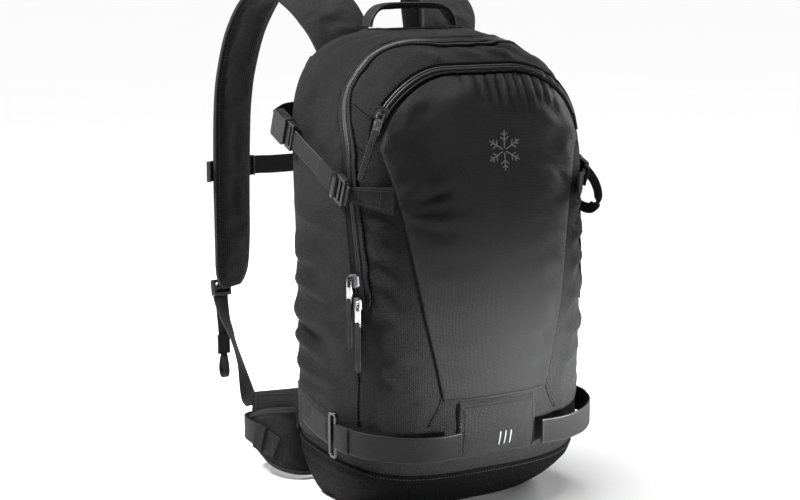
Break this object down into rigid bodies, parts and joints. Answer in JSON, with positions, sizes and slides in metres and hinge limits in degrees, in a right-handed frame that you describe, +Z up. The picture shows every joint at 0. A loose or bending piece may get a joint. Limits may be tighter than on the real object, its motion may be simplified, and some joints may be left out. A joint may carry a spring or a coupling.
{
  "type": "ski backpack",
  "caption": "Small ski and day-touring backpack with a wraparound main zip, arched front pocket, padded shoulder straps, hip belt, compression straps and ski-carry straps.",
  "frame": {"origin": "centre of the flat base that the pack stands on", "axes": "+Z up, -Y the outer face with the front pocket, +Y the wearer's back, +X to the right as the front is looked at"},
  "size_m": [0.3212, 0.37, 0.522],
  "materials": {
    "shell_fabric": "woven nylon, fine ripstop, slight sheen",
    "panel_fabric": "coated woven polyester with a soft sheen",
    "boot_fabric": "coarse coated nylon",
    "wing_fabric": "coated woven nylon",
    "back_foam": "foam under knitted fabric",
    "spacer_mesh": "knitted spacer mesh",
    "strap_pad": "foam pad, woven outside and mesh inside",
    "stiff_sheet": "thin plastic sheet",
    "zip_tape": "woven zip tape, coated",
    "zip_coil": "nylon coil",
    "webbing": "ribbed webbing",
    "moulded_plastic": "fine spark-eroded texture",
    "ring_plastic": "smooth moulded",
    "slider_metal": "dark plated cast metal",
    "pull_metal": "bright cast metal",
    "puller_tab": "ribbed moulded tape"
  },
  "bodies": {
    "pack": {"rear_bag_shell": "shell_fabric", "front_bag_shell": "shell_fabric", "base_boot": "boot_fabric", "main_zip_tape": "zip_tape", "main_zip_coil": "zip_coil", "front_zip_tape": "zip_tape", "front_zip_coil": "zip_coil", "front_pocket_panel": "panel_fabric", "stash_pocket": "panel_fabric", "back_panel_foam": "back_foam", "spacer_mesh": "spacer_mesh", "strap_yoke": "shell_fabric", "side_wing_left": "wing_fabric", "side_wing_right": "wing_fabric", "lower_anchor_left": "boot_fabric", "lower_anchor_right": "boot_fabric", "grab_handle": "webbing", "compression_tab_left": "wing_fabric", "compression_tab_right": "wing_fabric", "compression_anchor_tapes": "webbing", "ski_strap_left": "webbing", "ski_strap_right": "webbing", "frame_sheet": "stiff_sheet", "compression_buckle_socket_left": "moulded_plastic", "compression_ladder_lock_left": "moulded_plastic", "compression_buckle_socket_right": "moulded_plastic", "compression_ladder_lock_right": "moulded_plastic", "ski_ring_left": "ring_plastic", "ski_ring_right": "ring_plastic"},
    "main_upper_slider_body": {"main_upper_slider": "slider_metal"},
    "main_upper_pull_body": {"main_upper_pull": "pull_metal", "main_upper_puller_tab": "puller_tab"},
    "main_lower_slider_body": {"main_lower_slider": "slider_metal"},
    "main_lower_pull_body": {"main_lower_pull": "pull_metal", "main_lower_puller_tab": "puller_tab"},
    "front_slider_body": {"front_slider": "slider_metal"},
    "front_pull_body": {"front_pull": "pull_metal", "front_puller_tab": "puller_tab"},
    "shoulder_strap_body_left": {"shoulder_strap_left": "strap_pad", "strap_ladder_lock_left": "moulded_plastic", "strap_webbing_left": "webbing"},
    "hip_wing_body_left": {"hip_wing_left": "boot_fabric", "hip_webbing_left": "webbing", "hip_buckle_plug": "moulded_plastic"},
    "sternum_body_left": {"sternum_band_left": "moulded_plastic", "sternum_webbing_left": "webbing", "sternum_buckle_plug": "moulded_plastic"},
    "compression_body_left": {"compression_webbing_left": "webbing", "compression_buckle_plug_left": "moulded_plastic"},
    "shoulder_strap_body_right": {"shoulder_strap_right": "strap_pad", "strap_ladder_lock_right": "moulded_plastic", "strap_webbing_right": "webbing"},
    "hip_wing_body_right": {"hip_wing_right": "boot_fabric", "hip_webbing_right": "webbing", "hip_buckle_socket": "moulded_plastic"},
    "sternum_body_right": {"sternum_band_right": "moulded_plastic", "sternum_webbing_right": "webbing", "sternum_buckle_socket": "moulded_plastic"},
    "compression_body_right": {"compression_webbing_right": "webbing", "compression_buckle_plug_right": "moulded_plastic"}
  },
  "joints": [
    {"name": "main_upper_slide", "type": "slide", "parent": "pack", "child": "main_upper_slider_body", "axis": [-0.0373, 0.1385, 0.9897], "range_m": [0, 0.055]},
    {"name": "main_upper_pull_swing", "type": "hinge", "parent": "main_upper_slider_body", "child": "main_upper_pull_body", "pos_m": [-0.13451, -0.06245, 0.23965], "axis": [-0.2209, 0.9753, 0], "range_deg": [0, 140]},
    {"name": "main_lower_slide", "type": "slide", "parent": "pack", "child": "main_lower_slider_body", "axis": [-0.0373, 0.1385, 0.9897], "range_m": [-0.014, 0]},
    {"name": "main_lower_pull_swing", "type": "hinge", "parent": "main_lower_slider_body", "child": "main_lower_pull_body", "pos_m": [-0.13177, -0.07399, 0.21914], "axis": [-0.2209, 0.9753, 0], "range_deg": [0, 140]},
    {"name": "front_slide", "type": "slide", "parent": "pack", "child": "front_slider_body", "axis": [0.5299, 0, 0.848], "range_m": [0, 0.016]},
    {"name": "front_pull_swing", "type": "hinge", "parent": "front_slider_body", "child": "front_pull_body", "pos_m": [-0.10976, -0.07989, 0.3955], "axis": [-0.7188, 0.6485, 0.2506], "range_deg": [0, 120]},
    {"name": "shoulder_strap_swing_left", "type": "hinge", "parent": "pack", "child": "shoulder_strap_body_left", "pos_m": [-0.058, 0.092, 0.458], "axis": [0.2075, -0.16, 0.9651], "range_deg": [0, 28], "stiffness_Nm_per_rad": 0.6},
    {"name": "hip_wing_swing_left", "type": "hinge", "parent": "pack", "child": "hip_wing_body_left", "pos_m": [-0.124, 0.088, 0.042], "axis": [0, 0, 1], "range_deg": [0, 70], "stiffness_Nm_per_rad": 0.05},
    {"name": "sternum_slide_left", "type": "slide", "parent": "shoulder_strap_body_left", "child": "sternum_body_left", "axis": [0, -0.0139, 0.9999], "range_m": [-0.035, 0.035]},
    {"name": "compression_unplug_left", "type": "slide", "parent": "pack", "child": "compression_body_left", "axis": [0.02, -0.929, -0.3696], "range_m": [0, 0.022]},
    {"name": "shoulder_strap_swing_right", "type": "hinge", "parent": "pack", "child": "shoulder_strap_body_right", "pos_m": [0.058, 0.092, 0.458], "axis": [0.2075, 0.16, -0.9651], "range_deg": [0, 28], "stiffness_Nm_per_rad": 0.6},
    {"name": "hip_wing_swing_right", "type": "hinge", "parent": "pack", "child": "hip_wing_body_right", "pos_m": [0.124, 0.088, 0.042], "axis": [0, 0, -1], "range_deg": [0, 70], "stiffness_Nm_per_rad": 0.05},
    {"name": "sternum_slide_right", "type": "slide", "parent": "shoulder_strap_body_right", "child": "sternum_body_right", "axis": [0, -0.0139, 0.9999], "range_m": [-0.035, 0.035]},
    {"name": "compression_unplug_right", "type": "slide", "parent": "pack", "child": "compression_body_right", "axis": [-0.02, -0.929, -0.3696], "range_m": [0, 0.022]}
  ]
}
